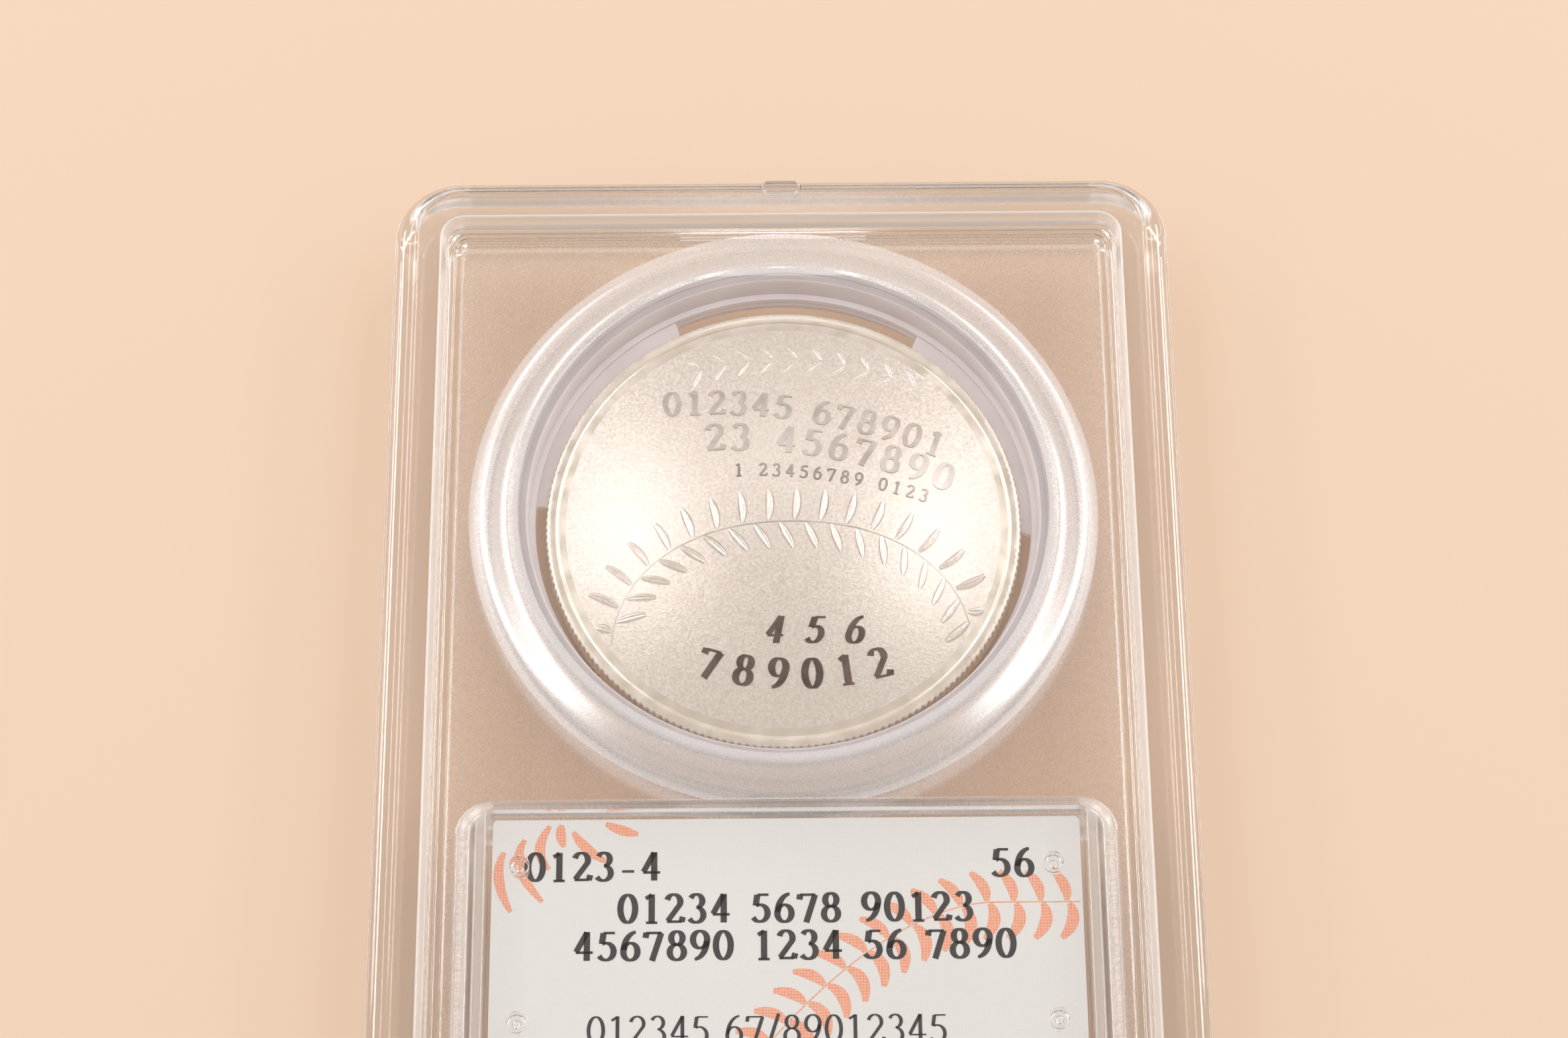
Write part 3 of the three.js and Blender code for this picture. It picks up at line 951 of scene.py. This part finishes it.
def coin_stitches():
    """Raised stitches on both sides of two seams: the main one, with its seam line and the stitches' edges as
    thin dark ribbons of painted shade, and a faint far one.
    """
    cords, painted_shade_lines = Marks(coin_height, 0.05, 0.03), Marks(coin_height, 0.03, 0.03)
    x, y = COIN_C

    def from_centre(path):
        return np.hypot(*(path - COIN_C).T)

    def on_field(path):
        return from_centre(path).max() < FIELD_R - 0.3

    main = round_arch((x + 0.6, y - 11.3), 14.3, 11.0, 2.2)
    main = main[from_centre(main) < FIELD_R - 0.9]
    # The seam line is a thin dark ribbon: painted shade of an incised line.
    seam = normals(main) * 0.055
    painted_shade_lines.ribbon(main + seam, main - seam, False)
    for p, t in along(main, 2.1):
        reach = max(0.6, min(2.8, FIELD_R - 0.35 - from_centre(p)))
        outer = stitch_path(p, t, reach, 0.2, 0.25, 0.2)
        inner = stitch_path(p + t * 0.9, t, -2.35, 0.9, 0.1, 0.15)
        for path, width in ((outer, 0.62), (inner, 0.6)):
            if on_field(path):
                cords.cord(path, width, 0.085)
                # Thin dark ribbons along both edges of each stitch: painted shade.
                half = normals(path) * (width / 2 * cord_swell(len(path)))[:, None]
                painted_shade_lines.ribbon(path + half * 1.2, path + half * 0.93, False)
                painted_shade_lines.ribbon(path - half * 0.93, path - half * 1.2, False)

    far = seam_arc(x - 7.5, y + 13.4, x + 11.5, y + 11.6, 2.0)
    for p, t in along(far, 1.9):
        for reach, lean in ((1.1, -0.9), (-1.3, -1.0)):
            path = stitch_path(p, t, reach, lean, 0.1, 0.15)
            if on_field(path):
                cords.cord(path, 0.38, 0.045)
    place(cords.build("coin_stitches", SILVER), "silver")
    place(painted_shade_lines.build("coin_stitch_painted_shade", GREY_SILVER_PAINTED_SHADE), "silver")


# ---- label print -------------------------------------------------------------------------------

PRINT_THICKNESS = 0.012


def label_height(x, y):
    """Height of the print, just over the card."""
    return np.full(np.shape(x), LABEL_HI[2] + 0.004)


def label_text():
    """Four bold rows and a light one, in black."""
    marks = Marks(label_height, PRINT_THICKNESS, 0.0)
    left, top = LABEL_LO[0], LABEL_HI[1]
    bold = {"thin": 0.085, "thick": 0.2}
    marks.row("0123-4", (left + 2.6, top - 5.0), 2.4, **bold)
    marks.row("56", (left + 38.3, top - 4.9), 2.4, **bold)
    marks.row("01234 5678 90123", (left + 9.7, top - 8.4), 2.4, **bold)
    marks.row("4567890 1234 56 7890", (left + 6.4, top - 11.35), 2.4, spacing=0.115, **bold)
    marks.row("012345.67/89012345", (left + 7.4, top - 17.95), 2.35, 0.05, 0.12, spacing=0.05)
    place(marks.build("label_text", BLACK_INK), "card")


def stroke(marks, path, width):
    """A printed brush stroke, tapering to both ends."""
    half = normals(path) * (width / 2 * np.sin(np.pi * np.linspace(0.14, 0.86, len(path))))[:, None]
    marks.ribbon(path + half, path - half, False)


def label_stitches():
    """Printed stitches: a run from the right edge down to the left, and six in the upper left corner."""
    marks = Marks(label_height, PRINT_THICKNESS / 2, 0.0)
    left, top = LABEL_LO[0], LABEL_HI[1]
    x = np.linspace(20.5, 45.0, 60)
    fall = 0.065 * np.maximum(38.4 - x, 0) ** 1.8
    run = np.stack([left + x, top - 6.9 - fall], 1)
    for p, t in along(run, 2.05):
        stroke(marks, stitch_path(p, t, 2.5, -1.0, 0.7, 0.1), 0.85)
        stroke(marks, stitch_path(p + t * 0.2, t, -2.9, -0.7, 1.1, 0.1), 0.95)
    seam = normals(run) * 0.05
    marks.ribbon(run + seam, run - seam, False)
    corner = [((0.9, -2.6), (-0.1, -4.6), (1.5, -7.4)), ((2.5, -1.6), (1.1, -3.6), (3.9, -6.6)),
              ((4.4, -0.5), (2.9, -2.6), (4.4, -4.0)), ((5.3, -0.4), (5.1, -1.2), (5.5, -2.2)),
              ((6.2, -1.0), (7.0, -2.4), (8.7, -3.4)), ((8.7, -0.35), (9.9, -1.0), (11.2, -1.2))]
    u = np.linspace(0, 1, 9)[:, None]
    for a, b, c in np.array(corner) + np.array((left, top)):
        stroke(marks, (1 - u) ** 2 * a + 2 * u * (1 - u) * b + u * u * c, 0.8)
    place(marks.build("label_stitches", ORANGE_INK), "card")


def card_and_seal():
    """The card and the seal stay as the CAD solids and only get their materials."""
    for node, material in (("label_card", CARD), ("security_seal", FOIL)):
        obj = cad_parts[node]
        obj.data.materials.clear()
        obj.data.materials.append(material)


# ---- stage, lamps and camera -------------------------------------------------------------------


FLOOR_HALF, FLOOR_GAP = 900, 0.05

# Lamps that come in pairs, left and right: name, degrees across and along, distance, width, length, radiance.
PAIRED_LAMPS = (
    ("box", 57, 6, 0.7, 0.085, 0.85, 11.5),
    ("strip", 16, 23, 0.9, 0.05, 0.25, 6.1),
    ("edge_strip", 32, 34, 0.9, 0.04, 0.8, 6.5),
    ("corner_box", 38, 52, 0.9, 0.2, 0.2, 7.5),
)
BACK_STRIP = ("back_strip", 0, 31, 0.9, 0.06, 0.06, 4.0)
HORIZON_TAN, SKY_GREY = (0.80, 0.63, 0.50), (0.415, 0.375, 0.345)

# The camera's place across from the slab's middle, back from the coin's centre and up from its rim,
# and its angles in degrees.
CAMERA_X, CAMERA_BACK, CAMERA_RISE = -0.95, 118.07, 265.94
CAMERA_TILT, CAMERA_TURN, CAMERA_ROLL = 65.94, 0.196, -0.448
LENS, SENSOR = 83.4, 36.0


def floor():
    """Plain tan ground under the slab."""
    size, z = FLOOR_HALF * MM, (BACK_LO[2] - FLOOR_GAP) * MM
    mesh = bpy.data.meshes.new("floor")
    corners = [(-size, -size, z), (size, -size, z), (size, size, z), (-size, size, z)]
    mesh.from_pydata(corners, [], [(0, 1, 2, 3)])
    material, tree, shader, out = new_material("floor")
    shader.inputs["Base Color"].default_value = (0.74, 0.57, 0.435, 1)
    shader.inputs["Roughness"].default_value = 0.9
    mesh.materials.append(material)
    obj = bpy.data.objects.new("floor", mesh)
    bpy.context.scene.collection.objects.link(obj)


def softbox(name, across, along_slab, distance, width, length, radiance):
    """A rectangular lamp facing the coin. Its two angles are from straight above, in degrees."""
    way = Vector((math.tan(math.radians(across)), math.tan(math.radians(along_slab)), 1)).normalized()
    aim = Vector((0, COIN_C[1] * MM, FRONT_HI[2] * MM))
    light = bpy.data.lights.new(name, "AREA")
    light.shape = "RECTANGLE"
    light.size, light.size_y = width, length
    light.energy = radiance * math.pi * width * length
    obj = bpy.data.objects.new(name, light)
    side = Vector((0, 1, 0)).cross(way).normalized()
    axes = Matrix((side, way.cross(side), way)).transposed().to_4x4()
    axes.translation = aim + way * distance
    obj.matrix_world = axes
    bpy.context.scene.collection.objects.link(obj)


def lamps():
    for side, side_name in ((-1, "left"), (1, "right")):
        for name, across, *rest in PAIRED_LAMPS:
            softbox(f"{side_name}_{name}", side * across, *rest)
    softbox(*BACK_STRIP)


def sky():
    """Tan near the horizon, like the floor's surroundings, and grey above."""
    world = bpy.data.worlds.new("studio")
    world.use_nodes = True
    tree = world.node_tree
    split = tree.nodes.new("ShaderNodeSeparateXYZ")
    tree.links.new(tree.nodes.new("ShaderNodeTexCoord").outputs["Generated"], split.inputs["Vector"])
    colour = ramp(tree, split.outputs["Z"], [(0.12, HORIZON_TAN), (0.4, SKY_GREY)])
    tree.links.new(colour, tree.nodes["Background"].inputs["Color"])
    bpy.context.scene.world = world


def camera():
    """Camera above the label end, looking down at the coin."""
    tilt, turn, roll = (math.radians(angle) for angle in (CAMERA_TILT, CAMERA_TURN, CAMERA_ROLL))
    ahead = Vector((0, math.cos(tilt), -math.sin(tilt)))
    right = Vector((1, 0, 0))
    up = right.cross(ahead)
    ahead, right = (ahead * math.cos(turn) + right * math.sin(turn),
                    right * math.cos(turn) - ahead * math.sin(turn))
    right, up = (right * math.cos(roll) + up * math.sin(roll),
                 up * math.cos(roll) - right * math.sin(roll))
    data = bpy.data.cameras.new("camera")
    data.lens, data.sensor_width = LENS, SENSOR
    data.clip_start, data.clip_end = 0.01, 10
    obj = bpy.data.objects.new("camera", data)
    axes = Matrix((right, up, -ahead)).transposed().to_4x4()
    axes.translation = Vector((CAMERA_X, COIN_C[1] - CAMERA_BACK, RIM_TOP + CAMERA_RISE)) * MM
    obj.matrix_world = axes
    bpy.context.scene.collection.objects.link(obj)
    bpy.context.scene.camera = obj


def colour_and_bounces():
    """Plain colours, and enough light bounces for the layers of clear plastic."""
    scene = bpy.context.scene
    scene.view_settings.view_transform = "Standard"
    scene.view_settings.exposure = 0.0
    scene.cycles.use_denoising = True
    scene.cycles.max_bounces = 20
    scene.cycles.transmission_bounces = 18
    scene.cycles.transparent_max_bounces = 24


front_shell()
back_shell()
gate_vestige()
gasket()
coin()
coin_figures()
coin_stitches()
label_text()
label_stitches()
card_and_seal()
floor()
lamps()
sky()
camera()
colour_and_bounces()
